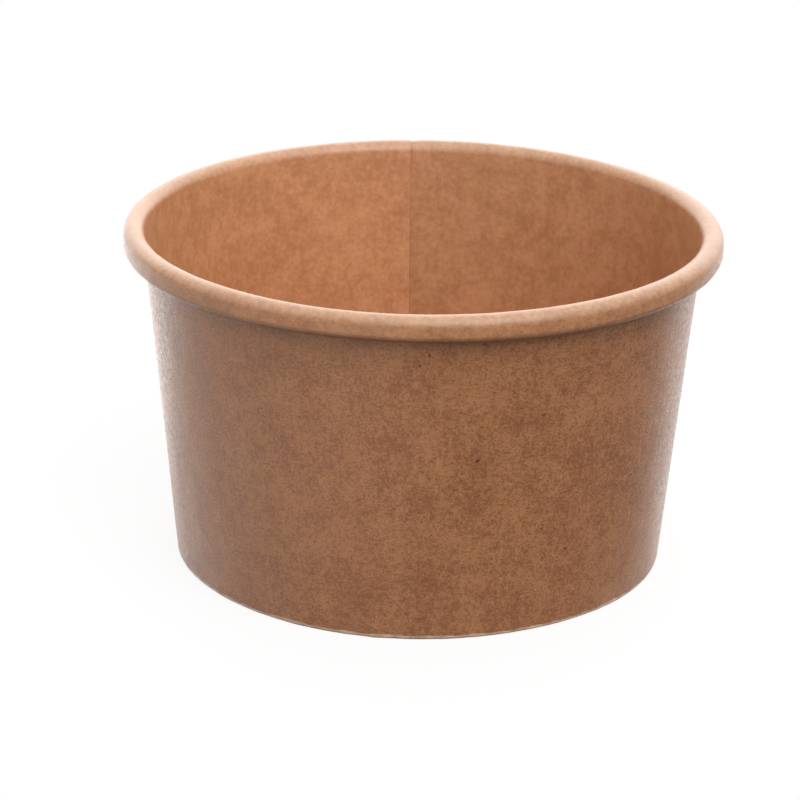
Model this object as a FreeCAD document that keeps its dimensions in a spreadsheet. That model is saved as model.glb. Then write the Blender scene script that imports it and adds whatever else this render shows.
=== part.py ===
"""Paper ice cream tub in brown board. Its side wall is one tapered sheet with a lapped side seam, a rim
rolled outwards and a foot folded inwards. Its base is a drawn disc whose skirt is held in that fold."""

import FreeCAD, Part
import math
import os

import Sketcher
from FreeCAD import Placement, Rotation, Vector

# Each size has an alias, a value in millimetres or degrees, and a meaning.
SIZES = [
    ("rim_diameter", 96.0, "outside diameter of the rolled rim"),
    ("total_height", 55.5, "from the table to the top of the rim"),
    ("base_diameter", 79.2, "outside diameter of the foot"),
    ("board", 0.4, "thickness of the board"),
    ("bead_width", 3.64, "width of the rolled rim"),
    ("bead_height", 4.42, "height of the rolled rim"),
    ("curl_gap", 0.45, "slit between the wall and the end of the curl"),
    ("tail_length", 1.0, "straight end of the curl, tucked up inside the rim"),
    ("fold_radius", 0.1, "inside radius of the two bends under the foot"),
    ("flap_height", 5.0, "top of the folded-in edge above the table"),
    ("glue_line", 0.05, "glue on each side of the base's skirt"),
    ("floor_height", 6.5, "top of the base disc above the table"),
    ("floor_bend", 0.8, "inside radius where the base disc turns down"),
    ("skirt_gap", 0.4, "space under the skirt, above the fold that holds it"),
    ("seam_azimuth", 93.1, "where the inner ply of the side seam ends"),
    ("lap_angle", 10.4, "angle over which the two plies of the seam lie on each other"),
    ("joggle_angle", 2.6, "angle over which the outer ply steps out over the inner one"),
    ("seam_squeeze", 0.12, "how far the two plies are pressed into each other"),
    ("notch_depth", 0.2, "step left along the edge of the inner ply"),
]
SIZE = {alias: value for alias, value, _ in SIZES}
LAP_THICKNESS = "2 * Sizes.board - Sizes.seam_squeeze"
WALL_RUN = "Edge5"

# How many flats follow a bend, on the near face and on the far face of the board.
RIM_FLATS = (6, 4)
FOOT_FLATS = (1, 2)
BASE_FLATS = (2, 2)

FIRST, LAST, MIDDLE = range(1, 4)
ORIGIN, UPRIGHT_AXIS, FIRST_EXTERNAL = range(-1, -4, -1)


class SheetLine:
    """A sheet seen edge on: straight runs that meet round bends without a kink. Each bend has a centre,
    a radius, the angles, in degrees, where it begins and finishes, and its flats on both faces."""

    def __init__(self, start, bends, end):
        self.start = start
        self.bends = bends
        self.end = end

    def moved(self, depth):
        """The same line, moved to its own left by a depth: a left-hand bend gets tighter."""
        bends = []
        for centre, radius, begin, finish, flats in self.bends:
            change = -depth if finish > begin else depth
            bends.append((centre, radius + change, begin, finish, flats))
        first_centre, first_radius, first_angle, _, _ = self.bends[0]
        last_centre, last_radius, _, last_angle, _ = self.bends[-1]
        leaving = self.end - around(last_centre, last_radius, last_angle)
        arriving = around(first_centre, first_radius, first_angle) - self.start
        start = self.start + left_of(arriving) * depth
        end = self.end + left_of(leaving) * depth
        return SheetLine(start, bends, end)

    def draw(self, sketch):
        """Adds the runs and the bends to a sketch, tangent to each other, and returns their numbers."""
        runs = []
        arcs = []
        here = self.start
        for centre, radius, begin, finish, _ in self.bends:
            there = around(centre, radius, begin)
            runs.append(sketch.addGeometry(Part.LineSegment(here, there)))
            circle = Part.Circle(centre, Vector(0, 0, 1), radius)
            low, high = sorted((math.radians(begin), math.radians(finish)))
            arcs.append(sketch.addGeometry(Part.ArcOfCircle(circle, low, high)))
            here = around(centre, radius, finish)
        runs.append(sketch.addGeometry(Part.LineSegment(here, self.end)))
        for before, arc, after, bend in zip(runs, arcs, runs[1:], self.bends):
            entry, leave = arc_ends(bend)
            rule(sketch, "Tangent", before, LAST, arc, entry)
            rule(sketch, "Tangent", arc, leave, after, FIRST)
        return runs, arcs


def arc_ends(bend):
    """The ends of a bend's arc in the order of travel: an arc always runs counterclockwise."""
    _, _, begin, finish, _ = bend
    return (FIRST, LAST) if begin < finish else (LAST, FIRST)


def add_flats(sketch, arc, bend, count):
    """Follows a bend with equal flats whose corners lie on it. The bend stays as their guide."""
    centre, radius, begin, finish, _ = bend
    turn = (finish - begin) / count
    corners = [around(centre, radius, begin + turn * corner) for corner in range(count + 1)]
    chords = [
        sketch.addGeometry(Part.LineSegment(here, there))
        for here, there in zip(corners, corners[1:])
    ]
    sketch.toggleConstruction(arc)
    entry, leave = arc_ends(bend)
    rule(sketch, "Coincident", chords[0], FIRST, arc, entry)
    rule(sketch, "Coincident", chords[-1], LAST, arc, leave)
    for before, after in zip(chords, chords[1:]):
        rule(sketch, "Coincident", before, LAST, after, FIRST)
        rule(sketch, "PointOnObject", after, FIRST, arc)
        rule(sketch, "Equal", before, after)


def around(centre, radius, degrees):
    angle = math.radians(degrees)
    return centre + Vector(math.cos(angle), math.sin(angle)) * radius


def left_of(direction):
    return Vector(-direction.y, direction.x).normalize()


class Layout:
    """Places in the section of the tub, where x is the radius and y the height. They are worked out
    from the sizes, so that each sketch starts at its solution and its constraints then hold it."""

    def __init__(self):
        s = SIZE
        self.crown_radius = s["bead_width"] / 2
        self.fold = s["fold_radius"]
        self.crown = Vector(
            s["rim_diameter"] / 2 - self.crown_radius, s["total_height"] - self.crown_radius
        )
        self.heel = Vector(
            s["base_diameter"] / 2 - s["board"] - self.fold, s["board"] + self.fold
        )
        reach = self.crown - self.heel
        lean = math.asin((self.crown_radius + self.fold) / reach.Length)
        taper = math.atan2(reach.x, reach.y) - lean
        self.taper = math.degrees(taper)
        self.up = Vector(math.sin(taper), math.cos(taper))
        self.out = Vector(math.cos(taper), -math.sin(taper))
        self.pocket = s["board"] + 2 * s["glue_line"]

    def wall_point(self, height, depth):
        """The point at a height on the line that lies that deep inside the wall's inner face."""
        start = self.heel + self.out * (self.fold - depth)
        return start + self.up * ((height - start.y) / self.up.y)

    def wall_line(self):
        """The wall's inner face, from the end of the curl to the top of the edge folded in below."""
        under = Vector(SIZE["rim_diameter"] / 2, SIZE["total_height"] - SIZE["bead_height"])
        free = self.out.dot(under - self.crown) + self.crown_radius
        tuck_radius = (free - SIZE["board"] - SIZE["curl_gap"]) / (1 + self.out.x - self.out.y)
        tuck = under + Vector(-tuck_radius, tuck_radius)
        toe = self.heel - Vector((self.pocket - 2 * self.fold) / self.out.x, 0)
        leaning = 180 - self.taper
        bends = [
            (tuck, tuck_radius, leaning, 360, RIM_FLATS),
            (self.crown, self.crown_radius, 0, leaning, RIM_FLATS),
            (self.heel, self.fold, -self.taper, -90, FOOT_FLATS),
            (toe, self.fold, 270, leaning, FOOT_FLATS),
        ]
        tail_end = around(tuck, tuck_radius, leaning) + self.up * SIZE["tail_length"]
        return SheetLine(tail_end, bends, self.wall_point(SIZE["flap_height"], self.pocket))

    def base_line(self):
        """The top of the base disc and the outer face of its skirt."""
        radius = SIZE["floor_bend"] + SIZE["board"]
        level = SIZE["floor_height"] - radius
        corner = self.wall_point(level, SIZE["glue_line"]) - Vector(radius / self.out.x, 0)
        middle = Vector(0, SIZE["floor_height"])
        skirt_end = self.wall_point(SIZE["board"] + SIZE["skirt_gap"], SIZE["glue_line"])
        return SheetLine(middle, [(corner, radius, 90, -self.taper, BASE_FLATS)], skirt_end)


def make_sheet(doc):
    """The driving dimensions, one row each."""
    sheet = doc.addObject("Spreadsheet::Sheet", "Sizes")
    for row, (alias, value, meaning) in enumerate(SIZES, start=1):
        sheet.set(f"A{row}", alias)
        sheet.set(f"B{row}", str(value))
        sheet.setAlias(f"B{row}", alias)
        sheet.set(f"C{row}", meaning)
    doc.recompute()


def new_sketch(doc, name):
    """A sketch in the plane of the axis: across is the radius, and up is the height."""
    sketch = doc.addObject("Sketcher::SketchObject", name)
    sketch.Placement = Placement(Vector(), Rotation(Vector(1, 0, 0), 90))
    return sketch


def rule(sketch, kind, *places):
    """A constraint without a size."""
    sketch.addConstraint(Sketcher.Constraint(kind, *places))


def hold(sketch, name, expression, kind, *places):
    """A named dimension that follows the sheet."""
    value = float(sketch.evalExpression(expression))
    index = sketch.addConstraint(Sketcher.Constraint(kind, *places, value))
    sketch.renameConstraint(index, name)
    sketch.setExpression(f"Constraints.{name}", expression)


def hold_height(sketch, name, expression, *place):
    hold(sketch, name, expression, "DistanceY", ORIGIN, FIRST, *place)


def hold_radius(sketch, name, expression, *place):
    hold(sketch, name, expression, "DistanceX", ORIGIN, FIRST, *place)


def make_wall_line(doc, line):
    """The line of the side wall's inner face. The curl, the taper and the foot get their sizes here."""
    sketch = new_sketch(doc, "wall_line")
    (tail, side, wall, floor, flap), (tuck, crown, heel, toe) = line.draw(sketch)

    hold(sketch, "crown_bend", "Sizes.bead_width / 2", "Radius", crown)
    hold_radius(sketch, "crown_out", "(Sizes.rim_diameter - Sizes.bead_width) / 2", crown, MIDDLE)
    hold_height(sketch, "crown_up", "Sizes.total_height - Sizes.bead_width / 2", crown, MIDDLE)
    rule(sketch, "Vertical", side)

    tuck_centre, tuck_radius, _, _, _ = line.bends[0]
    lowest = around(tuck_centre, tuck_radius, 270)
    drop = sketch.addGeometry(Part.LineSegment(tuck_centre, lowest), True)
    rule(sketch, "Coincident", drop, FIRST, tuck, MIDDLE)
    rule(sketch, "Vertical", drop)
    rule(sketch, "PointOnObject", drop, LAST, tuck)
    hold_height(sketch, "rim_underside", "Sizes.total_height - Sizes.bead_height", drop, LAST)
    rule(sketch, "Parallel", tail, wall)
    hold(sketch, "curl_gap", "Sizes.board + Sizes.curl_gap", "Distance", tail, FIRST, wall)
    hold(sketch, "tail_length", "Sizes.tail_length", "Distance", tail, FIRST, tail, LAST)

    heel_out = "Sizes.base_diameter / 2 - Sizes.board - Sizes.fold_radius"
    hold_radius(sketch, "heel_out", heel_out, heel, MIDDLE)
    hold(sketch, "heel_bend", "Sizes.fold_radius", "Radius", heel)
    rule(sketch, "Equal", heel, toe)
    rule(sketch, "Horizontal", floor)
    hold_height(sketch, "floor_up", "Sizes.board", floor, FIRST)
    rule(sketch, "Parallel", flap, wall)
    pocket = "Sizes.board + 2 * Sizes.glue_line"
    hold(sketch, "pocket", pocket, "Distance", flap, FIRST, wall)
    hold_height(sketch, "flap_up", "Sizes.flap_height", flap, LAST)
    doc.recompute()
    return sketch


def make_base_line(doc, line, wall_line):
    """The line of the base disc's top. Its skirt runs along the wall, a glue line away."""
    sketch = new_sketch(doc, "base_line")
    sketch.addExternal(wall_line.Name, WALL_RUN)
    (disc, skirt), (turn,) = line.draw(sketch)

    rule(sketch, "PointOnObject", disc, FIRST, UPRIGHT_AXIS)
    rule(sketch, "Horizontal", disc)
    hold_height(sketch, "floor_up", "Sizes.floor_height", disc, FIRST)
    hold(sketch, "turn_bend", "Sizes.floor_bend + Sizes.board", "Radius", turn)
    rule(sketch, "Parallel", skirt, FIRST_EXTERNAL)
    hold(sketch, "glue_line", "Sizes.glue_line", "Distance", skirt, FIRST, FIRST_EXTERNAL)
    hold_height(sketch, "skirt_up", "Sizes.board + Sizes.skirt_gap", skirt, LAST)
    doc.recompute()
    return sketch


def make_section(doc, name, line_sketch, line, near, far, side=1):
    """The closed section of board that lies between two depths beside a line, to its left where side
    is 1 and to its right where it is -1. Each face stays parallel to the line, and round the same
    bends."""
    sketch = new_sketch(doc, name)
    for edge in range(1, 2 * len(line.bends) + 2):
        sketch.addExternal(line_sketch.Name, f"Edge{edge}")
    outer_runs = [FIRST_EXTERNAL - 2 * index for index in range(len(line.bends) + 1)]
    outer_arcs = [run - 1 for run in outer_runs[:-1]]

    faces = []
    for face, (label, depth) in enumerate((("near", near), ("far", far))):
        moved = line.moved(side * float(sketch.evalExpression(depth)))
        runs, arcs = moved.draw(sketch)
        for run, outer in zip(runs, outer_runs):
            rule(sketch, "Parallel", run, outer)
        for arc, outer in zip(arcs, outer_arcs):
            rule(sketch, "Coincident", arc, MIDDLE, outer, MIDDLE)
        if depth == "0":
            rule(sketch, "PointOnObject", runs[0], FIRST, outer_runs[0])
        else:
            hold(sketch, f"{label}_depth", depth, "Distance", runs[0], FIRST, outer_runs[0])
        for arc, bend in zip(arcs, moved.bends):
            *_, flats = bend
            add_flats(sketch, arc, bend, flats[face])
        faces.append((runs[0], runs[-1]))

    for end, place in ((0, FIRST), (1, LAST)):
        near_run, far_run = (face[end] for face in faces)
        corners = [sketch.getPoint(run, place) for run in (near_run, far_run)]
        edge = sketch.addGeometry(Part.LineSegment(*corners))
        rule(sketch, "Coincident", edge, FIRST, near_run, place)
        rule(sketch, "Coincident", edge, LAST, far_run, place)
        outer = (outer_runs[0], outer_runs[-1])[end]
        rule(sketch, "Perpendicular", edge, near_run)
        rule(sketch, "PointOnObject", outer, place, edge)
    return sketch


def make_turned(doc, name, section, angle, start):
    """A section swept round the upright axis, counterclockwise from a start azimuth."""
    turned = doc.addObject("Part::Revolution", name)
    turned.Source = section
    turned.Axis = Vector(0, 0, 1)
    turned.Base = Vector()
    turned.Solid = True
    turned.setExpression("Angle", angle)
    turned.setExpression("Placement.Rotation.Angle", start)
    return turned


def make_side_wall(doc, line_sketch, line):
    """One sheet all the way round: single board, the two plies of the seam, and the joggle between
    them, where the outer ply steps out over the edge of the inner one."""
    single = make_section(doc, "single_ply", line_sketch, line, "0", "Sizes.board")
    lapped = make_section(doc, "lapped_plies", line_sketch, line, "0", LAP_THICKNESS)
    stepped = make_section(
        doc, "stepped_ply", line_sketch, line, "Sizes.notch_depth", LAP_THICKNESS
    )
    plain = make_turned(
        doc, "plain_wall", single,
        "360 - Sizes.lap_angle - Sizes.joggle_angle", "Sizes.seam_azimuth + Sizes.lap_angle",
    )
    lap = make_turned(doc, "seam_lap", lapped, "Sizes.lap_angle", "Sizes.seam_azimuth")

    flush = doc.addObject("Part::Compound", "flush_ply")
    flush.Links = [single]
    flush.setExpression("Placement.Rotation.Angle", "-Sizes.joggle_angle")
    joggle = doc.addObject("Part::Loft", "joggle")
    joggle.Sections = [flush, stepped]
    joggle.Solid = True
    joggle.Ruled = True
    joggle.setExpression("Placement.Rotation.Angle", "Sizes.seam_azimuth")

    sheet = doc.addObject("Part::MultiFuse", "rolled_sheet")
    sheet.Shapes = [plain, lap, joggle]
    above_table = doc.addObject("Part::Cylinder", "above_table")
    above_table.setExpression("Radius", "Sizes.rim_diameter")
    above_table.setExpression("Height", "2 * Sizes.total_height")
    wall = doc.addObject("Part::Common", "side_wall_solid")
    wall.Base = sheet
    wall.Tool = above_table
    wall.Refine = True
    wall.Label = "side_wall"
    return wall


def make_base_disc(doc, line_sketch, line):
    """A drawn disc: a flat floor and a skirt turned down all round."""
    section = make_section(doc, "base_ply", line_sketch, line, "0", "Sizes.board", side=-1)
    base = make_turned(doc, "base_disc_solid", section, "360", "0")
    base.Label = "base_disc"
    return base


def check_document(doc):
    """Stops if an object failed, a sketch is loose, or a shape is empty or broken."""
    for item in doc.Objects:
        if "Invalid" in item.State or "Error" in item.State:
            raise RuntimeError(f"{item.Name} failed: {item.State}")
        if item.TypeId == "Sketcher::SketchObject" and not item.FullyConstrained:
            raise RuntimeError(f"{item.Name} isn't fully constrained")
        if hasattr(item, "Shape") and (item.Shape.isNull() or not item.Shape.isValid()):
            raise RuntimeError(f"{item.Name} has no valid shape")


def main():
    doc = FreeCAD.newDocument("ice_cream_tub")
    make_sheet(doc)
    layout = Layout()
    wall_line = make_wall_line(doc, layout.wall_line())
    base_line = make_base_line(doc, layout.base_line(), wall_line)
    pieces = [
        make_side_wall(doc, wall_line, layout.wall_line()),
        make_base_disc(doc, base_line, layout.base_line()),
    ]
    doc.recompute()
    check_document(doc)
    os.makedirs("parts", exist_ok=True)
    for piece in pieces:
        solids = len(piece.Shape.Solids)
        if solids != 1:
            raise RuntimeError(f"{piece.Label} has {solids} solids")
        piece.Shape.exportStep(f"parts/{piece.Label}.step")
        print(f"{piece.Label}: {piece.Shape.Volume:.1f} mm3, {len(piece.Shape.Faces)} faces")


main()
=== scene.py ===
"""Paper ice cream tub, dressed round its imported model: the side wall with its rolled rim, lapped seam and
folded foot, the base disc, a plain pale floor, soft light and the camera. Lengths are in metres, and a
sheet is followed by its arc length from the end of the curl to the top of the folded-in edge."""

import math

import bpy
import numpy as np
from bpy.props import FloatProperty, FloatVectorProperty, PointerProperty
from mathutils import Matrix, Vector


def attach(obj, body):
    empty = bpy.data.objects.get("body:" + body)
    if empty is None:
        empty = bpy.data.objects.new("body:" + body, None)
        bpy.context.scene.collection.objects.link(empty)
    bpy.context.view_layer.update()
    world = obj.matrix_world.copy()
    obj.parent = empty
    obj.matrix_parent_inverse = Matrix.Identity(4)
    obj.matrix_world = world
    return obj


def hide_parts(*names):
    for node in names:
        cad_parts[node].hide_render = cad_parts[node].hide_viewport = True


bl_info = {
    "name": "Paper ice cream tub",
    "version": (1, 0, 0),
    "blender": (4, 5, 0),
    "location": "3D View > Sidebar > Tub",
    "description": "Builds an open paper tub with a rolled rim, a lapped seam and a folded foot",
    "category": "Add Mesh",
}

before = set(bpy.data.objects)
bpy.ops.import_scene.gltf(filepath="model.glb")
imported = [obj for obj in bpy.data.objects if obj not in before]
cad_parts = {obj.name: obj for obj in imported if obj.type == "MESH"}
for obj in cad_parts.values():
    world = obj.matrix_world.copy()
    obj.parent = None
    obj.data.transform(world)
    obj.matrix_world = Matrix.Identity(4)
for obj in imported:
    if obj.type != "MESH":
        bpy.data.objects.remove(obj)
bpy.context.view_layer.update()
BOARD_SEED = 41

# The wall's pattern lies on a plane: across it the azimuth times this radius, down it the arc length.
SHEET_RADIUS = 0.044
# The pattern of the far face starts this many sheet lengths further down the plane.
FAR_FACE = 1.5
# The first part of the arc length, which takes in the whole roll of the rim.
ROLL_ARC = 0.02
# The creases at the foot fade out up to this height. One larger bump in them has a place and a width.
CREASE_HEIGHT = 0.004
BUMP_AZIMUTH = math.radians(260.5)
BUMP_WIDTH = math.radians(1.1)

WHITE = (1.0, 1.0, 1.0, 1.0)
FLOOR_GREY = (0.14, 0.14, 0.14, 1.0)
FLOOR_REACH = 3.0
# The floor lies a hair under the tub, so that the two never share a plane.
FLOOR_LEVEL = -0.00002
KEY_PLACE = (0.34, -0.72, 0.85)
KEY_AIM = (0.0, 0.0, 0.03)
KEY_SIZE = 0.9


def length(name, description, default):
    """A size of the tub, in metres."""
    return FloatProperty(
        name=name, description=description, default=default, min=0.0, precision=5,
        subtype="DISTANCE", unit="LENGTH",
    )


def angle(name, description, degrees):
    """An angle, stored in radians."""
    return FloatProperty(
        name=name, description=description, default=math.radians(degrees), subtype="ANGLE",
        unit="ROTATION",
    )


def share(name, description, default, highest=1.0):
    """A plain number from 0 up."""
    return FloatProperty(
        name=name, description=description, default=default, min=0.0, max=highest, precision=3,
    )


def colour(name, description, red, green, blue):
    """A colour, given as it looks on screen from 0 to 255 and stored as light."""
    shown = np.array([red, green, blue]) / 255
    light = np.where(shown <= 0.04045, shown / 12.92, ((shown + 0.055) / 1.055) ** 2.4)
    return FloatVectorProperty(
        name=name, description=description, default=tuple(light), size=3, min=0.0, max=1.0,
        subtype="COLOR",
    )


class TubSizes(bpy.types.PropertyGroup):
    """The sizes of the tub, the same as those of its solids."""

    rim_diameter: length("Rim diameter", "Outside diameter of the rolled rim", 0.096)
    total_height: length("Height", "From the table to the top of the rim", 0.0555)
    base_diameter: length("Foot diameter", "Outside diameter of the foot", 0.0792)
    board: length("Board", "Thickness of the board", 0.0004)
    bead_width: length("Rim width", "Width of the rolled rim", 0.00364)
    bead_height: length("Rim height", "Height of the rolled rim", 0.00442)
    curl_gap: length("Curl gap", "Slit between the wall and the end of the curl", 0.00045)
    tail_length: length("Curl end", "Straight end of the curl, inside the rim", 0.001)
    fold_radius: length("Fold radius", "Inside radius of the bends under the foot", 0.0001)
    flap_height: length("Flap height", "Top of the folded-in edge above the table", 0.005)
    glue_line: length("Glue line", "Glue on each side of the base's skirt", 0.00005)
    floor_height: length("Base height", "Top of the base disc above the table", 0.0065)
    floor_bend: length("Base bend", "Inside radius where the base turns down", 0.0008)
    skirt_gap: length("Skirt gap", "Space under the skirt of the base", 0.0004)
    seam_azimuth: angle("Seam", "Where the inner ply of the seam ends, round the tub", 93.1)
    lap_angle: angle("Lap", "Angle over which the two plies lie on each other", 10.4)
    joggle_angle: angle("Joggle", "Angle over which the outer ply steps out", 2.6)
    seam_squeeze: length("Squeeze", "How far the plies are pressed together", 0.00012)
    notch_depth: length("Step", "Step left along the edge of the inner ply", 0.0002)
    step_width: length("Edge width", "Width of the worn slope at each ply's cut edge", 0.00012)
    rim_wave: length("Rim wave", "How far the rim is out of round", 0.00006)
    board_cockle: length("Cockle", "Height of the slow waves in the board", 0.000012)
    foot_crease: length("Foot creases", "Height of the small creases at the foot", 0.00002)


class BoardFinish(bpy.types.PropertyGroup):
    """The colours and the surface of the brown board."""

    board_colour: colour("Board", "Brown of the board", 180, 122, 81)
    dark_colour: colour("Dark mottle", "Where the pulp is darker", 143, 88, 53)
    inner_colour: colour("Inner face", "Paler brown of the face inside the tub", 202, 148, 108)
    inner_dark: colour("Inner mottle", "Where the pulp of the inner face is darker", 177, 123, 84)
    fibre_colour: colour("Fibres", "Light fibres in the face of the board", 205, 150, 106)
    # Also the colour of the painted shade under the bead and under the fold at the foot.
    fleck_and_shade_colour: colour("Flecks", "Dark specks of bark in the pulp", 82, 44, 26)
    speck_colour: colour("Specks", "Pale specks in the pulp", 222, 182, 150)
    # Also the colour of the painted highlight on the rim's up-facing bends and on the fold at the foot.
    wear_and_highlight_colour: colour("Bends", "Board that is stretched round a bend", 230, 199, 175)
    fibre_length: length("Fibre length", "Length of a fibre", 0.0009)
    fibre_width: length("Fibre width", "Width of a fibre", 0.0001)
    relief: length("Relief", "Height of the fibres over the face", 0.000022)
    roughness: share("Roughness", "Roughness of the thin film on the board", 0.35)


class StageSettings(bpy.types.PropertyGroup):
    """The camera and the light."""

    camera_distance: length("Distance", "From the middle of the rim to the camera", 0.54908)
    camera_height: angle("Elevation", "How far the camera stands above the rim's plane", 17.621)
    camera_tilt: angle("Tilt", "How far the camera looks away from the rim's middle, upwards", -2.789)
    camera_pan: angle("Pan", "How far the camera looks to the side of the rim's middle", -0.3375)
    camera_roll: angle("Roll", "How far the camera leans", -1.027)
    lens: FloatProperty(
        name="Lens", description="Focal length on a sensor 36 mm wide", default=154.173,
        min=1.0, subtype="DISTANCE_CAMERA",
    )
    surround: share("Surround", "Strength of the white light from the sides", 0.74, 10.0)
    front_level: share("Front", "Strength of the light from the camera's side", 0.76, 10.0)
    back_level: share("Back", "Strength of the light from behind the tub", 2.35, 10.0)
    key_power: FloatProperty(
        name="Key power", description="Power of the softbox above", default=7.6, min=0.0,
        unit="POWER",
    )


# Dark marks on the outer face, as they lie on the tub: azimuth in degrees, height, length and width in
# metres, tilt from level in degrees, and strength.
MARKS = (
    (282.0, 0.0307, 0.00048, 0.00029, 35, 1.00),
    (304.1, 0.0133, 0.00030, 0.00028, 0, 0.95),
    (295.8, 0.0373, 0.00038, 0.00021, 25, 0.85),
    (297.4, 0.0178, 0.00024, 0.00020, 0, 0.75),
    (269.8, 0.0467, 0.00029, 0.00027, 0, 0.90),
    (284.8, 0.0419, 0.00028, 0.00023, 0, 0.70),
    (265.8, 0.0327, 0.00026, 0.00022, 0, 0.65),
    (229.5, 0.0336, 0.00110, 0.00045, 88, 0.35),
)


# Sheets seen edge on

class SheetLine:
    """A sheet seen edge on, in radius and height: straight runs that meet round bends without a kink.
    Each bend has a centre, a radius and the angles where it begins and finishes."""

    def __init__(self, start, bends, end):
        self.start = np.array(start)
        self.bends = bends
        self.end = np.array(end)

    def trace(self, run_steps, bend_steps):
        """Points along the line, their normals to the left of travel, their arc length, and how much
        the sheet is bent there, from 0 to 1. A run is start + t (end - start), a bend is
        centre + radius (cos a, sin a), and the last point closes the last run."""
        places, normals, bent = [], [], []
        here = self.start
        for (centre, radius, begin, finish), run, turn in zip(self.bends, run_steps, bend_steps):
            centre = np.array(centre)
            there = centre + radius * np.array([math.cos(begin), math.sin(begin)])
            self._add_run(places, normals, bent, here, there, run)
            way = np.linspace(begin, finish, turn, endpoint=False)
            ray = np.stack([np.cos(way), np.sin(way)], axis=1)
            places.append(centre + radius * ray)
            normals.append(-ray if finish > begin else ray)
            bent.append(np.ones(turn))
            here = centre + radius * np.array([math.cos(finish), math.sin(finish)])
        self._add_run(places, normals, bent, here, self.end, run_steps[-1])
        places.append(self.end[None])
        normals.append(normals[-1][-1:])
        bent.append(np.zeros(1))
        places = np.concatenate(places)
        gaps = np.linalg.norm(np.diff(places, axis=0), axis=1)
        arc = np.concatenate([[0.0], np.cumsum(gaps)])
        return places, np.concatenate(normals), arc, np.concatenate(bent)

    @staticmethod
    def _add_run(places, normals, bent, here, there, steps):
        """Adds a straight run, without its last point."""
        along = there - here
        left = np.array([-along[1], along[0]]) / np.linalg.norm(along)
        way = np.linspace(0.0, 1.0, steps, endpoint=False)[:, None]
        places.append(here + way * along)
        normals.append(np.repeat(left[None], steps, axis=0))
        bent.append(np.zeros(steps))


class Layout:
    """Places in the section of the tub, worked out from its sizes: the centre of the rim's crown, the
    centre of the bend at the foot, and the lean of the wall that touches both."""

    def __init__(self, sizes):
        self.sizes = sizes
        self.crown_radius = sizes.bead_width / 2
        self.crown = np.array([
            sizes.rim_diameter / 2 - self.crown_radius, sizes.total_height - self.crown_radius
        ])
        self.heel = np.array([
            sizes.base_diameter / 2 - sizes.board - sizes.fold_radius,
            sizes.board + sizes.fold_radius,
        ])
        reach = self.crown - self.heel
        lean = math.asin((self.crown_radius + sizes.fold_radius) / np.linalg.norm(reach))
        self.taper = math.atan2(reach[0], reach[1]) - lean
        self.up = np.array([math.sin(self.taper), math.cos(self.taper)])
        self.out = np.array([math.cos(self.taper), -math.sin(self.taper)])
        self.pocket = sizes.board + 2 * sizes.glue_line

    def wall_point(self, height, depth):
        """The point at a height on the line that lies that deep inside the wall's inner face."""
        start = self.heel + self.out * (self.sizes.fold_radius - depth)
        return start + self.up * ((height - start[1]) / self.up[1])

    def wall_line(self):
        """The wall's inner face, from the end of the curl to the top of the folded-in edge."""
        sizes = self.sizes
        under = np.array([sizes.rim_diameter / 2, sizes.total_height - sizes.bead_height])
        free = self.out @ (under - self.crown) + self.crown_radius
        tuck_radius = (free - sizes.board - sizes.curl_gap) / (1 + self.out[0] - self.out[1])
        tuck = under + np.array([-tuck_radius, tuck_radius])
        inset = (self.pocket - 2 * sizes.fold_radius) / self.out[0]
        toe = self.heel - np.array([inset, 0.0])
        leaning = math.pi - self.taper
        bends = [
            (tuck, tuck_radius, leaning, 2 * math.pi),
            (self.crown, self.crown_radius, 0.0, leaning),
            (self.heel, sizes.fold_radius, -self.taper, -math.pi / 2),
            (toe, sizes.fold_radius, 1.5 * math.pi, leaning),
        ]
        ray = np.array([math.cos(leaning), math.sin(leaning)])
        tail_end = tuck + tuck_radius * ray + self.up * sizes.tail_length
        return SheetLine(tail_end, bends, self.wall_point(sizes.flap_height, self.pocket))

    def base_line(self):
        """The top of the base disc and the outer face of its skirt."""
        sizes = self.sizes
        radius = sizes.floor_bend + sizes.board
        level = sizes.floor_height - radius
        corner = self.wall_point(level, sizes.glue_line) - np.array([radius / self.out[0], 0.0])
        skirt_end = self.wall_point(sizes.board + sizes.skirt_gap, sizes.glue_line)
        bends = [(corner, radius, math.pi / 2, -self.taper)]
        return SheetLine((0.0, sizes.floor_height), bends, skirt_end)


def waves(azimuth, arc, rounds, pitch, count, seed):
    """A field of slow random waves, about 1 high: the sum of cos(k azimuth + 2 pi arc / pitch + phase)
    over whole numbers k up to rounds, so it closes round the tub."""
    draw = np.random.default_rng(seed)
    turns = draw.integers(1, rounds + 1, count)[:, None, None]
    climbs = draw.uniform(-1.0, 1.0, count)[:, None, None] / pitch
    phases = draw.uniform(0, 2 * math.pi, count)[:, None, None]
    field = np.cos(turns * azimuth[None, None, :] + 2 * math.pi * climbs * arc[None, :, None] + phases)
    return field.sum(axis=0) / math.sqrt(count)


def seam_columns(sizes, plain_steps):
    """Azimuths round the tub that start at the inner ply's edge and close there, with the depths of
    the sheet's two faces. The near face is level, then climbs the joggle and drops at the edge. The
    far face carries both plies over the lap, drops at the outer ply's edge, and climbs the joggle."""
    lap_depth = 2 * sizes.board - sizes.seam_squeeze
    edge = sizes.step_width / (sizes.rim_diameter / 2)
    start = sizes.seam_azimuth
    finish = start + 2 * math.pi
    lap_end = start + sizes.lap_angle
    ramp = finish - sizes.joggle_angle
    azimuth = np.concatenate([
        np.linspace(start, lap_end, 16, endpoint=False),
        np.linspace(lap_end, lap_end + edge, 4, endpoint=False),
        np.linspace(lap_end + edge, ramp, plain_steps, endpoint=False),
        np.linspace(ramp, finish - edge, 10, endpoint=False),
        np.linspace(finish - edge, finish, 4, endpoint=False),
    ])
    near = np.interp(azimuth, [ramp, finish - edge, finish], [0.0, sizes.notch_depth, 0.0])
    far = np.interp(
        azimuth, [lap_end, lap_end + edge, ramp, finish - edge],
        [lap_depth, sizes.board, sizes.board, lap_depth],
    )
    return azimuth, near, far


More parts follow.
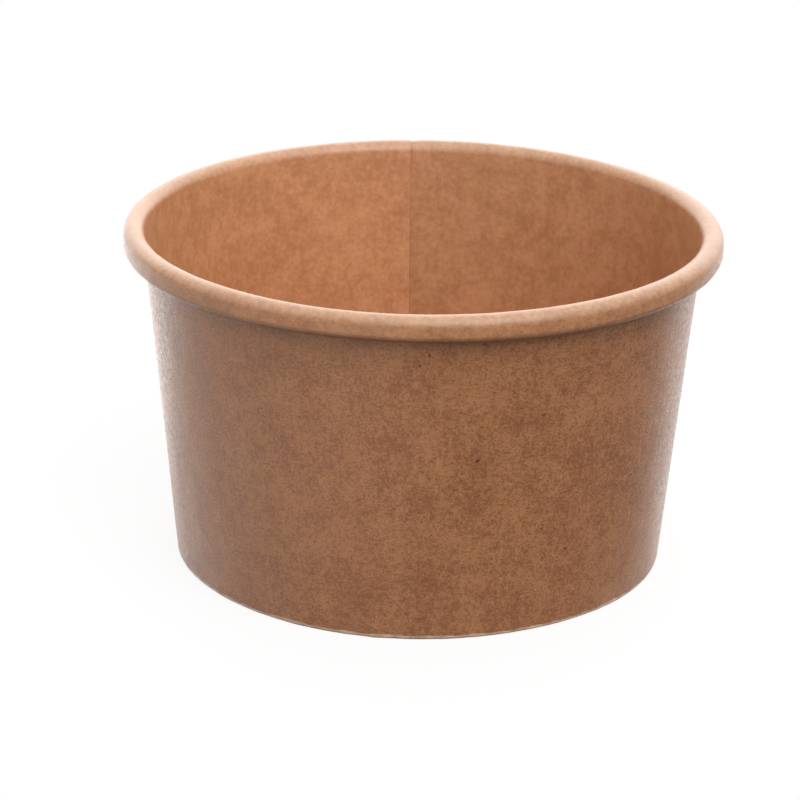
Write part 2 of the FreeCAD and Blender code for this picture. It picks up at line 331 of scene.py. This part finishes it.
def shell_mesh(name, points, uv_along, uv_across, attributes):
    """A mesh over a grid of points that closes both ways. The UV map has one row of values more and
    one column more than the grid, so that its pattern runs on over the closing faces."""
    rows, columns = points.shape[:2]
    number = np.arange(rows * columns).reshape(rows, columns)
    right = np.roll(number, -1, axis=1)
    above = np.roll(number, -1, axis=0)
    corner = np.roll(above, -1, axis=1)
    quads = np.stack([number, right, corner, above], axis=2).reshape(-1, 4)
    mesh = bpy.data.meshes.new(name)
    mesh.from_pydata(points.reshape(-1, 3).tolist(), [], quads.tolist())
    corners = [(slice(0, -1), slice(0, -1)), (slice(0, -1), slice(1, None)),
               (slice(1, None), slice(1, None)), (slice(1, None), slice(0, -1))]
    uv = np.stack([
        np.stack([uv_along[place], uv_across[place]], axis=2) for place in corners
    ], axis=2)
    mesh.uv_layers.new(name="sheet").uv.foreach_set("vector", uv.reshape(-1))
    for title, values in attributes.items():
        layer = mesh.attributes.new(title, "FLOAT", "POINT")
        layer.data.foreach_set("value", np.repeat(values, columns).astype(np.float32))
    return mesh


def add_piece(mesh, material, node):
    """Puts a finished mesh into the scene in place of its CAD node."""
    mesh.shade_smooth()
    mesh.set_sharp_from_angle(angle=math.radians(48))
    mesh.materials.append(material)
    piece = bpy.data.objects.new(mesh.name, mesh)
    bpy.context.scene.collection.objects.link(piece)
    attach(piece, "root")
    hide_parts(node)
    return piece


def check_faces_outward(mesh):
    """Stops if the mesh is inside out, which a negative volume shows."""
    mesh.calc_loop_triangles()
    corners = np.empty(len(mesh.vertices) * 3)
    mesh.vertices.foreach_get("co", corners)
    corners = corners.reshape(-1, 3)
    triangles = np.empty(len(mesh.loop_triangles) * 3, dtype=np.int32)
    mesh.loop_triangles.foreach_get("vertices", triangles)
    first, second, third = (corners[triangles.reshape(-1, 3)[:, side]] for side in range(3))
    volume = np.einsum("ij,ij->i", first, np.cross(second, third)).sum() / 6
    print(f"{mesh.name}: {volume * 1e9:.1f} mm3, {len(mesh.loop_triangles)} triangles")
    if volume <= 0:
        raise RuntimeError(f"{mesh.name} is inside out")


# Board

class Nodes:
    """A short way to fill a node tree: inputs are given by name, as values or as the outputs of other
    nodes, and each call hands back one output of the new node."""

    def __init__(self, owner):
        owner.use_nodes = True
        self.tree = owner.node_tree
        self.tree.nodes.clear()

    def add(self, kind, settings=None, output=0, **inputs):
        """Adds a node of a kind. An input called i0, i1 and so on is found by its number."""
        node = self.tree.nodes.new("ShaderNode" + kind)
        for key, value in (settings or {}).items():
            setattr(node, key, value)
        for key, value in inputs.items():
            key = key.replace("_", " ")
            socket = node.inputs[int(key[1:])] if key[1:].isdigit() else node.inputs[key]
            if isinstance(value, bpy.types.NodeSocket):
                self.tree.links.new(value, socket)
            else:
                socket.default_value = value
        return node.outputs[output] if len(node.outputs) else None

    def parts(self, kind, settings=None, **inputs):
        """Adds a node and hands back all its outputs."""
        return self.add(kind, settings, **inputs).node.outputs

    def attribute(self, title):
        """A number that is stored on the points of the mesh."""
        return self.add("Attribute", {"attribute_name": title}, output=2)

    def math(self, operation, first, second=0.0, third=0.0):
        """A sum, product or the like of up to three numbers."""
        return self.add("Math", {"operation": operation}, i0=first, i1=second, i2=third)

    def swing(self, value, weight):
        """How far a noise is from its middle, which is a half, times a weight."""
        return self.math("MULTIPLY", self.math("SUBTRACT", value, 0.5), weight)

    def vector(self, operation, first, second):
        """A sum, difference or product of two vectors."""
        return self.add("VectorMath", {"operation": operation}, i0=first, i1=second)

    def ramp(self, value, low, high, to_low=0.0, to_high=1.0):
        """Runs from to_low to to_high while the value runs from low to high."""
        return self.add(
            "MapRange", {"clamp": True, "interpolation_type": "SMOOTHSTEP"},
            Value=value, From_Min=low, From_Max=high, To_Min=to_low, To_Max=to_high,
        )

    def mix(self, factor, first, second, blend="MIX"):
        """One colour over another."""
        return self.add(
            "Mix", {"data_type": "RGBA", "blend_type": blend}, output=2,
            i0=factor, i6=first, i7=second,
        )

    def tint(self, shade, factor, first, second):
        """A colour times another one, which runs from the first to the second with the factor."""
        return self.mix(1.0, shade, self.mix(factor, first, second), "MULTIPLY")

    def noise(self, place, scale, detail=2.0):
        """Soft random clouds from 0 to 1 on a plane, about a half in the mean."""
        return self.add(
            "TexNoise", {"noise_dimensions": "2D"}, Vector=place, Scale=scale, Detail=detail
        )


def rgba(shade):
    """A colour with its alpha."""
    return (*shade, 1.0)


def wandering(nodes, sheet):
    """The sheet's plane pushed about by up to 0.3 mm, so that no fibre in it is quite straight."""
    push = nodes.add(
        "TexNoise", {"noise_dimensions": "2D"}, output=1, Vector=sheet, Scale=700.0, Detail=1.0
    )
    push = nodes.vector("SUBTRACT", push, (0.5, 0.5, 0.5))
    push = nodes.add("VectorMath", {"operation": "SCALE"}, i0=push, Scale=0.0006)
    return nodes.vector("ADD", sheet, push)


def fibre_mask(nodes, place, finish, turn, cover):
    """Short thin streaks in one direction: noise on a plane that is turned, then squeezed across the
    fibres, and cut off near its peaks."""
    turned_place = nodes.add(
        "VectorRotate", {"rotation_type": "Z_AXIS"}, Vector=place, Angle=math.radians(turn)
    )
    squeezed = nodes.add(
        "Mapping", {"vector_type": "POINT"}, Vector=turned_place,
        Scale=(0.5 / finish.fibre_length, 0.5 / finish.fibre_width, 1.0),
    )
    return nodes.ramp(nodes.noise(squeezed, 1.0, detail=1.0), cover, cover + 0.12)


def all_fibres(nodes, place, finish):
    """Fibres in five directions, each given by its turn in degrees and by the level above which the
    noise counts as a fibre."""
    fibres = 0.0
    for turn, cover in ((4, 0.60), (-23, 0.62), (34, 0.62), (-61, 0.64), (84, 0.65)):
        fibres = nodes.math("MAXIMUM", fibres, fibre_mask(nodes, place, finish, turn, cover))
    return fibres


def speck_mask(nodes, place, spacing, chosen, radius):
    """Scattered specks: round the points of a Voronoi pattern, with some cells left empty and the
    others given specks of 0.3 to 1 times the radius."""
    cell = nodes.parts("TexVoronoi", {"voronoi_dimensions": "2D"}, Vector=place, Scale=1 / spacing)
    luck = nodes.parts("SeparateColor", Color=cell["Color"])
    reach = nodes.math("MULTIPLY_ADD", luck[1], 0.7 * radius / spacing, 0.3 * radius / spacing)
    spot = nodes.ramp(nodes.math("DIVIDE", cell["Distance"], reach), 1.0, 0.55)
    return nodes.math("MULTIPLY", spot, nodes.math("GREATER_THAN", luck[0], 1 - chosen))


def mark_mask(nodes, sheet, u, v, long, wide, tilt, strength):
    """An oval mark: the distance from its middle, measured in its own length and width."""
    away = nodes.vector("SUBTRACT", sheet, (u, v, 0.0))
    leaning = nodes.add(
        "VectorRotate", {"rotation_type": "Z_AXIS"}, Vector=away, Angle=math.radians(tilt)
    )
    scaled = nodes.vector("MULTIPLY", leaning, (1 / long, 1 / wide, 0.0))
    reach = nodes.add("VectorMath", {"operation": "LENGTH"}, output=1, i0=scaled)
    return nodes.ramp(reach, 1.2, 0.6, 0.0, strength)


def pulp_colour(nodes, sheet, finish, inside, crisp, fine, medium):
    """The brown of the pulp: it runs between dark and pale with the sum of five noises, from fine
    grain to wide clouds, and drifts a little in hue."""
    grain = nodes.swing(medium, 0.36)
    grain = nodes.math("MULTIPLY", grain, nodes.ramp(inside, 0.0, 1.0, 1.0, 0.72))
    tone = nodes.math("ADD", nodes.math("MULTIPLY", nodes.swing(fine, 0.52), crisp), grain)
    for scale, weight in ((420.0, 0.26), (150.0, 0.22), (50.0, 0.13)):
        tone = nodes.math("ADD", tone, nodes.swing(nodes.noise(sheet, scale, detail=1.0), weight))
    dark = nodes.mix(inside, rgba(finish.dark_colour), rgba(finish.inner_dark))
    pale = nodes.mix(inside, rgba(finish.board_colour), rgba(finish.inner_colour))
    pulp = nodes.mix(nodes.ramp(tone, -0.18, 0.18), dark, pale)
    hue = nodes.ramp(nodes.noise(sheet, 230.0), 0.35, 0.65)
    return nodes.tint(pulp, hue, (0.995, 1.003, 0.978, 1.0), (1.005, 0.997, 1.02, 1.0))


def speckled(nodes, pulp, sheet, place, finish, inside, marks):
    """The pulp with pale specks, dark flecks of two sizes, and the marks whose places are known."""
    specks = speck_mask(nodes, place, 0.0045, 0.30, 0.00014)
    pulp = nodes.mix(nodes.math("MULTIPLY", specks, 0.55), pulp, rgba(finish.speck_colour))
    small_flecks = speck_mask(nodes, place, 0.0060, 0.30, 0.00015)
    large_flecks = speck_mask(nodes, place, 0.0210, 0.35, 0.00032)
    flecks = nodes.math("MAXIMUM", small_flecks, large_flecks)
    for mark in marks:
        flecks = nodes.math("MAXIMUM", flecks, mark_mask(nodes, sheet, *mark))
    flecks = nodes.math("MULTIPLY", flecks, nodes.ramp(inside, 0.0, 1.0, 0.85, 0.2))
    return nodes.mix(flecks, pulp, rgba(finish.fleck_and_shade_colour))


def fold_masks(nodes, sheet, down, fold):
    """The pale line along the fold at the foot, partly worn board and partly a painted highlight, and
    the painted shade just under it, partly dirt, as two masks that follow the way down the sheet. The
    pale line has an uneven upper side and breaks."""
    uneven = nodes.math("ADD", down, nodes.swing(nodes.noise(sheet, 300.0), 0.0007))
    line = nodes.math(
        "MULTIPLY", nodes.ramp(uneven, fold - 0.00032, fold - 0.00012),
        nodes.ramp(down, fold + 0.00006, fold + 0.00002),
    )
    breaks = nodes.ramp(nodes.noise(sheet, 330.0, detail=3.0), 0.38, 0.62, 0.50, 0.95)
    shade = nodes.math(
        "MULTIPLY", nodes.ramp(down, fold + 0.00003, fold + 0.00008, 0.0, 0.6),
        nodes.math("LESS_THAN", down, fold + 0.0003),
    )
    return nodes.math("MULTIPLY", line, breaks), shade


def board_material(name, finish, blank=None):
    """Brown board under a thin satin film: mottled pulp, pale fibres that lie all ways, dark flecks,
    pale specks, and paler board round the bends and along the cut edges; on the rim's up-facing bends
    and on the fold at the foot the pale board is partly a painted highlight. On the wall a painted
    shade darkens the bead's underside and the band under the fold. The wall's blank also says
    where its ends, its fold and its marks lie on the sheet."""
    material = bpy.data.materials.new(name)
    nodes = Nodes(material)
    sheet = nodes.add("UVMap", {"uv_map": "sheet"})
    place = wandering(nodes, sheet)
    inside = nodes.attribute("inside")
    crisp = nodes.math("MULTIPLY_ADD", inside, -0.75, 1.0)
    fine = nodes.noise(sheet, 2600.0, detail=1.0)
    medium = nodes.noise(sheet, 1100.0, detail=1.0)
    fibres = all_fibres(nodes, place, finish)

    pulp = pulp_colour(nodes, sheet, finish, inside, crisp, fine, medium)
    if blank is not None:
        way = nodes.parts("SeparateXYZ", Vector=sheet)
        first_end, last_end = blank["ends"]
        along = nodes.ramp(way["X"], first_end, last_end, 1.0, 0.0)
        pulp = nodes.tint(pulp, along, (0.94, 0.945, 0.95, 1.0), (1.06, 1.055, 1.045, 1.0))
    patches = nodes.ramp(nodes.noise(sheet, 160.0), 0.35, 0.65, 0.35, 1.0)
    shown = nodes.math("MULTIPLY", nodes.math("MULTIPLY", fibres, patches), crisp)
    pulp = nodes.mix(nodes.math("MULTIPLY", shown, 0.42), pulp, rgba(finish.fibre_colour))
    pulp = speckled(nodes, pulp, sheet, place, finish, inside, blank["marks"] if blank else ())

    # Paler board on the bends and cut edges: wear, and on the rim's up-facing bends also a painted
    # highlight.
    worn = nodes.math("MULTIPLY", nodes.attribute("bend"), nodes.ramp(medium, 0.3, 0.7, 0.8, 1.0))
    height = nodes.math("ADD", nodes.math("MULTIPLY", fibres, 0.3), nodes.math("MULTIPLY", fine, 0.9))
    height = nodes.math("ADD", height, nodes.math("MULTIPLY", medium, 0.7))
    if blank is not None:
        # Painted highlight and painted shade at the foot's fold: a pale line on its crest and a darker band
        # just under it.
        fold_line, fold_shade = fold_masks(nodes, sheet, way["Y"], blank["fold"])
        pulp = nodes.mix(fold_shade, pulp, rgba(finish.fleck_and_shade_colour))
        worn = nodes.math("MAXIMUM", worn, fold_line)
        lines = nodes.add("Mapping", {"vector_type": "POINT"}, Vector=sheet, Scale=(1000.0, 45.0, 1.0))
        height = nodes.math("ADD", height, nodes.math("MULTIPLY", nodes.noise(lines, 1.0), 0.9))
    # Paints the wear and the painted highlights in the pale colour.
    pulp = nodes.mix(worn, pulp, rgba(finish.wear_and_highlight_colour))

    mirror_level = 0.5
    if blank is not None:
        # Painted shade under the bead: the colour is darkened towards the dark fleck colour and the
        # reflection is weakened.
        under = nodes.attribute("underside")
        pulp = nodes.mix(nodes.math("MULTIPLY", under, 0.32), pulp, rgba(finish.fleck_and_shade_colour))
        mirror_level = nodes.math("MULTIPLY_ADD", under, -0.45, mirror_level)
    height = nodes.math("MULTIPLY", height, crisp)
    relief = nodes.add("Bump", Strength=1.0, Distance=finish.relief, Height=height)
    gloss = nodes.ramp(medium, 0.3, 0.7, finish.roughness - 0.05, finish.roughness + 0.07)
    shader = nodes.add(
        "BsdfPrincipled", Base_Color=pulp, Roughness=gloss, Normal=relief,
        Specular_IOR_Level=mirror_level,
    )
    nodes.add("OutputMaterial", Surface=shader)
    return material


# Side wall and base

def swept(places, normals, depth, azimuth):
    """A section swept round the tub's axis: each place moves along its normal by its depth, and a
    radius and a height then become (radius cos a, radius sin a, height)."""
    section = places[:, None, :] + normals[:, None, :] * depth[..., None]
    radius, height = section[..., 0], section[..., 1]
    return np.stack([radius * np.cos(azimuth), radius * np.sin(azimuth), height], axis=2)


def board_loop(count):
    """The order in which a section of count points goes round the board: along the near face, over
    the folded-in edge, back along the far face and over the edge of the curl. The side is 0 on the
    near face, 1 on the far face and between them on the two cut edges."""
    way = np.arange(count)
    order = np.concatenate([way, [-1, -1], way[::-1], [0, 0]])
    side = np.concatenate([np.zeros(count), [0.25, 0.75], np.ones(count), [0.75, 0.25]])
    return order, side


def wall_waves(sizes, azimuth, arc, height):
    """How far the sheet lies off its true place: slow waves all over, a rim slightly out of round that
    stays inside its true circle, small creases at the foot, and one larger bump there, of the form
    exp(-(turn from its middle / its width) squared)."""
    wave = sizes.board_cockle * waves(azimuth, arc, 46, 0.016, 60, BOARD_SEED)
    wave += sizes.rim_wave * waves(azimuth, arc, 5, 0.4, 6, BOARD_SEED + 1)
    rolled = np.clip(1.5 - arc / ROLL_ARC, 0, 1)[:, None]
    wave -= rolled * wave[arc < ROLL_ARC].min()
    low = np.clip(1 - height / CREASE_HEIGHT, 0, 1)[:, None] ** 2
    wave += sizes.foot_crease * low * waves(azimuth, arc, 90, 0.01, 40, BOARD_SEED + 2)
    bump = np.exp(-((azimuth - BUMP_AZIMUTH) / BUMP_WIDTH) ** 2)
    wave += 7 * sizes.foot_crease * low * bump
    return wave


class TUB_OT_side_wall(bpy.types.Operator):
    """Rolls the side wall: one sheet with a curled rim, a lapped seam and a folded foot"""

    bl_idname = "tub.side_wall"
    bl_label = "Side wall"
    bl_options = {"REGISTER", "UNDO"}

    def execute(self, context):
        sizes = context.scene.tub_sizes
        line = Layout(sizes).wall_line()
        places, normals, arc, bent = line.trace((2, 2, 40, 2, 8), (22, 24, 6, 6))
        azimuth, near, far = seam_columns(sizes, 352)
        order, side = board_loop(len(arc))
        depth = (1 - side)[:, None] * near[None, :] + side[:, None] * far[None, :]
        depth += wall_waves(sizes, azimuth, arc, places[:, 1])[order]
        points = swept(places[order], normals[order], depth, azimuth)
        points[..., 2] = np.maximum(points[..., 2], 0.0)

        # How far each face looks up; the paler board on the rim's bends and cut edges, which on the rim
        # is partly a painted highlight that grows as the face looks up; and the painted shade on the bead's
        # underside.
        facing = normals[order, 1] * np.where(side > 0.5, 1, -1)
        # Partly wear and partly painted highlight: the rim's bends are made paler the more they face up.
        worn = 0.48 * np.clip((facing - 0.1) / 0.9, 0, 1) * (bent[order] > 0) * (arc[order] < ROLL_ARC)
        worn[(side > 0) & (side < 1)] = 0.9
        bead = arc[order] < arc[np.argmax(places[:, 1])] + 0.001
        # Painted shade: the outer face of the bead is darkened the more it faces down, standing in for the
        # shade under the rolled rim.
        underside = np.clip(-1.3 * facing, 0, 1) * (side < 0.5) * bead
        inside = (1 - side) * np.where(bead, 0.6, 1.0)

        # The outer ply keeps the pattern of the end of the blank where it lies over the inner one.
        girth = np.append(azimuth, azimuth[0] + 2 * math.pi) * SHEET_RADIUS
        lapped = np.append(azimuth < azimuth[0] + sizes.lap_angle, False) * 2 * math.pi * SHEET_RADIUS
        across = girth + (np.append(side, 0) > 0.5)[:, None] * lapped
        down = np.append(arc[order] + side * arc[-1] * FAR_FACE, arc[0])
        mesh = shell_mesh(
            "tub_side_wall", points, across, np.tile(down[:, None], (1, len(girth))),
            {"bend": worn, "inside": inside, "underside": underside},
        )
        check_faces_outward(mesh)
        blank = self.blank_places(places[:, 1], arc, girth)
        material = board_material("wall_board", context.scene.tub_finish, blank)
        add_piece(mesh, material, "side_wall")
        return {"FINISHED"}

    @staticmethod
    def blank_places(height, arc, girth):
        """Where the blank's ends, its fold and its marks lie on the plane of the far face. The rows
        that fall fastest are those of the straight wall, which turn a height into an arc length."""
        wall = np.flatnonzero(np.diff(height) < -0.0005)
        start = FAR_FACE * arc[-1]
        marks = [
            (math.radians(turn) * SHEET_RADIUS, start + np.interp(-high, -height[wall], arc[wall]), *rest)
            for turn, high, *rest in MARKS
        ]
        return {"ends": (girth[0], girth[-1]), "fold": start + arc[wall[-1] + 1], "marks": marks}


class TUB_OT_base_disc(bpy.types.Operator):
    """Draws the base: a flat disc with a skirt turned down all round"""

    bl_idname = "tub.base_disc"
    bl_label = "Base disc"
    bl_options = {"REGISTER", "UNDO"}

    def execute(self, context):
        sizes = context.scene.tub_sizes
        traced = Layout(sizes).base_line().trace((26, 8), (10,))
        places, normals, arc, bent = (row[1:] for row in traced)
        azimuth = np.linspace(0, 2 * math.pi, 240, endpoint=False)
        way = np.arange(len(arc))
        order = np.concatenate([way, [way[-1]], way[::-1]])
        side = np.concatenate([np.zeros(len(arc)), [0.5], np.ones(len(arc))])

        # The base is wavy between its middle, where all rows meet, and the bend at its edge.
        wavy = (np.clip(1 - arc / 0.036, 0, 1) * np.clip(arc / 0.012, 0, 1) ** 2)[:, None]
        wave = 4 * sizes.board_cockle * wavy * waves(azimuth, arc, 6, 0.05, 12, BOARD_SEED + 3)
        depth = -sizes.board * side[:, None] + wave[order]
        rings = swept(places[order], normals[order], depth, azimuth)
        mesh = disc_mesh("tub_base", rings, arc[order], {"bend": bent[order] * 0.35, "inside": 1 - side})
        check_faces_outward(mesh)
        material = board_material("base_board", context.scene.tub_finish)
        add_piece(mesh, material, "base_disc")
        return {"FINISHED"}


def disc_mesh(name, rings, spread, attributes):
    """A mesh over rings of points, closed by a point at the middle of its top and one at the middle of
    its underside. Its UV map unrolls it flat: each ring keeps its distance from the middle, measured
    along the sheet."""
    count, columns = rings.shape[:2]
    azimuth = np.linspace(0, 2 * math.pi, columns, endpoint=False)
    number = np.arange(count * columns).reshape(count, columns)
    right = np.roll(number, -1, axis=1)
    quads = np.stack([number[:-1], number[1:], right[1:], right[:-1]], axis=2).reshape(-1, 4)
    top, under = count * columns, count * columns + 1
    middles = [[0, 0, rings[0, :, 2].mean()], [0, 0, rings[-1, :, 2].mean()]]
    top_fan = [[top, here, there] for here, there in zip(number[0], right[0])]
    under_fan = [[under, there, here] for here, there in zip(number[-1], right[-1])]
    points = np.concatenate([rings.reshape(-1, 3), middles])
    mesh = bpy.data.meshes.new(name)
    mesh.from_pydata(points.tolist(), [], quads.tolist() + top_fan + under_fan)
    shift = np.where(np.arange(count) > count // 2, 0.2, 0.0)[:, None]
    flat = np.stack([
        spread[:, None] * np.cos(azimuth) + shift, spread[:, None] * np.sin(azimuth) + 0 * shift
    ], axis=2).reshape(-1, 2)
    flat = np.concatenate([flat, [[0, 0], [0.2, 0]]])
    corners = np.empty(len(mesh.loops), dtype=np.int32)
    mesh.loops.foreach_get("vertex_index", corners)
    mesh.uv_layers.new(name="sheet").uv.foreach_set("vector", flat[corners].reshape(-1))
    for title, values in attributes.items():
        layer = mesh.attributes.new(title, "FLOAT", "POINT")
        values = np.concatenate([np.repeat(values, columns), values[[0, -1]]]).astype(np.float32)
        layer.data.foreach_set("value", values)
    return mesh


# Floor, light and camera

def add_softbox(name, power, place, aim, size):
    """A square lamp at a place, turned to a point."""
    lamp = bpy.data.lights.new(name, "AREA")
    lamp.energy = power
    lamp.size = size
    softbox = bpy.data.objects.new(name, lamp)
    way = Vector(aim) - Vector(place)
    softbox.rotation_euler = way.to_track_quat("-Z", "Y").to_euler()
    softbox.location = place
    bpy.context.scene.collection.objects.link(softbox)


def add_camera(stage, sizes):
    """The camera stands above the rim's plane and looks at its middle, then is turned in its own axes
    by the tilt, the pan and the roll."""
    centre = Vector((0, 0, sizes.total_height - sizes.bead_height / 2))
    high = stage.camera_height
    right = Vector((1, 0, 0))
    up = Vector((0, math.sin(high), math.cos(high)))
    ahead = Vector((0, math.cos(high), -math.sin(high)))
    place = centre - ahead * stage.camera_distance
    up, ahead = turned(up, ahead, stage.camera_tilt)
    right, ahead = turned(right, ahead, stage.camera_pan)
    right, up = turned(right, up, stage.camera_roll)
    lens = bpy.data.cameras.new("camera")
    lens.lens = stage.lens
    lens.sensor_width = 36.0
    lens.clip_end = 20.0
    camera = bpy.data.objects.new("camera", lens)
    camera.matrix_world = Matrix.Translation(place) @ Matrix((right, up, -ahead)).transposed().to_4x4()
    bpy.context.scene.collection.objects.link(camera)
    bpy.context.scene.camera = camera


def turned(first, second, amount):
    """Two axes turned in their own plane, the second one towards the first."""
    across = first * math.cos(amount) - second * math.sin(amount)
    along = first * math.sin(amount) + second * math.cos(amount)
    return across, along


def floor_material(name):
    """A pale floor that the camera sees as white, apart from the tub's soft shadow. The board's film
    mirrors a glow on it: bright on the left and behind the tub, dim in front on the right."""
    material = bpy.data.materials.new(name)
    nodes = Nodes(material)
    ray = nodes.parts("LightPath")
    spot = nodes.add("TexCoord", output=3)
    axes = nodes.parts("SeparateXYZ", Vector=spot)
    right, back = axes["X"], axes["Y"]

    matt = nodes.add("BsdfDiffuse", Color=FLOOR_GREY)
    lift = nodes.add("Emission", Color=WHITE, Strength=0.86)
    lifted = nodes.add("AddShader", i0=matt, i1=lift)
    white = nodes.add("Emission", Color=WHITE, Strength=1.0)
    away = nodes.add("VectorMath", {"operation": "LENGTH"}, output=1, i0=spot)
    shown = nodes.add("MixShader", i0=nodes.ramp(away, 0.055, 0.10), i1=lifted, i2=white)

    front = nodes.ramp(right, -0.055, 0.03, 1.40, 0.38)
    past_right = nodes.math("SUBTRACT", back, nodes.math("MULTIPLY", right, 0.77))
    far_right = nodes.math(
        "MULTIPLY", nodes.ramp(past_right, -0.060, -0.025), nodes.ramp(right, 0.0, 0.04, 0.0, 1.35)
    )
    past_left = nodes.math("ADD", back, nodes.math("MULTIPLY", right, 0.4))
    far_left = nodes.math(
        "MULTIPLY", nodes.ramp(past_left, -0.02, 0.04), nodes.ramp(right, 0.0, -0.04, 0.0, 1.1)
    )
    glow = nodes.math("ADD", front, nodes.math("ADD", far_right, far_left))
    mirrored = nodes.add("Emission", Color=WHITE, Strength=glow)
    surface = nodes.add("MixShader", i0=ray["Is Glossy Ray"], i1=matt, i2=mirrored)
    surface = nodes.add("MixShader", i0=ray["Is Camera Ray"], i1=surface, i2=shown)
    nodes.add("OutputMaterial", Surface=surface)
    return material


def light_world(stage):
    """White light from all round: it changes from the camera's side to the sides and again to the
    back, and is weaker near the horizon. The camera itself sees plain white."""
    world = bpy.data.worlds.new("surround")
    nodes = Nodes(world)
    ray = nodes.parts("LightPath")
    way = nodes.parts("SeparateXYZ", Vector=nodes.add("TexCoord", output="Generated"))
    sides = nodes.ramp(way["Y"], -0.8, 0.1, 0.0, stage.surround - stage.front_level)
    back = nodes.ramp(way["Y"], 0.45, 0.8, 0.0, stage.back_level - stage.surround)
    low = nodes.add("MapRange", Value=way["Z"], From_Max=0.35, To_Min=-0.30, To_Max=0.0)
    level = nodes.math("ADD", nodes.math("ADD", sides, stage.front_level), back)
    level = nodes.math("ADD", level, low)
    lit = nodes.add("Background", Color=(1.0, 0.99, 0.98, 1.0), Strength=level)
    seen = nodes.add("Background", Color=WHITE, Strength=1.0)
    surface = nodes.add("MixShader", i0=ray["Is Camera Ray"], i1=lit, i2=seen)
    nodes.add("OutputWorld", Surface=surface)
    bpy.context.scene.world = world


class TUB_OT_stage(bpy.types.Operator):
    """Sets the floor, the soft light and the camera round the tub"""

    bl_idname = "tub.stage"
    bl_label = "Stage"
    bl_options = {"REGISTER", "UNDO"}

    def execute(self, context):
        scene = context.scene
        stage = scene.tub_stage
        mesh = bpy.data.meshes.new("floor")
        corners = [
            (right * FLOOR_REACH, back * FLOOR_REACH, FLOOR_LEVEL)
            for right, back in ((-1, -1), (1, -1), (1, 1), (-1, 1))
        ]
        mesh.from_pydata(corners, [], [(0, 1, 2, 3)])
        mesh.materials.append(floor_material("floor"))
        floor = bpy.data.objects.new("floor", mesh)
        scene.collection.objects.link(floor)
        light_world(stage)
        add_softbox("key", stage.key_power, KEY_PLACE, KEY_AIM, KEY_SIZE)
        add_camera(stage, scene.tub_sizes)
        scene.view_settings.view_transform = "Standard"
        return {"FINISHED"}


class TUB_PT_panel(bpy.types.Panel):
    """Lists the pieces of the tub and their sizes"""

    bl_idname = "TUB_PT_panel"
    bl_label = "Paper tub"
    bl_space_type = "VIEW_3D"
    bl_region_type = "UI"
    bl_category = "Tub"

    def draw(self, context):
        layout = self.layout
        for operator in (TUB_OT_side_wall, TUB_OT_base_disc, TUB_OT_stage):
            layout.operator(operator.bl_idname)
        for title in GROUPS:
            box = layout.box()
            group = getattr(context.scene, title)
            for name in group.bl_rna.properties.keys():
                if name not in ("rna_type", "name"):
                    box.prop(group, name)


GROUPS = {"tub_sizes": TubSizes, "tub_finish": BoardFinish, "tub_stage": StageSettings}
CLASSES = (
    TubSizes, BoardFinish, StageSettings, TUB_OT_side_wall, TUB_OT_base_disc, TUB_OT_stage,
    TUB_PT_panel,
)


def register():
    """Registers the classes and gives the scene its groups of settings."""
    for item in CLASSES:
        bpy.utils.register_class(item)
    for title, group in GROUPS.items():
        setattr(bpy.types.Scene, title, PointerProperty(type=group))


def unregister():
    """Takes away all that register added."""
    for title in GROUPS:
        delattr(bpy.types.Scene, title)
    for item in reversed(CLASSES):
        bpy.utils.unregister_class(item)


def main():
    register()
    bpy.ops.tub.side_wall()
    bpy.ops.tub.base_disc()
    bpy.ops.tub.stage()


if __name__ == "__main__":
    main()
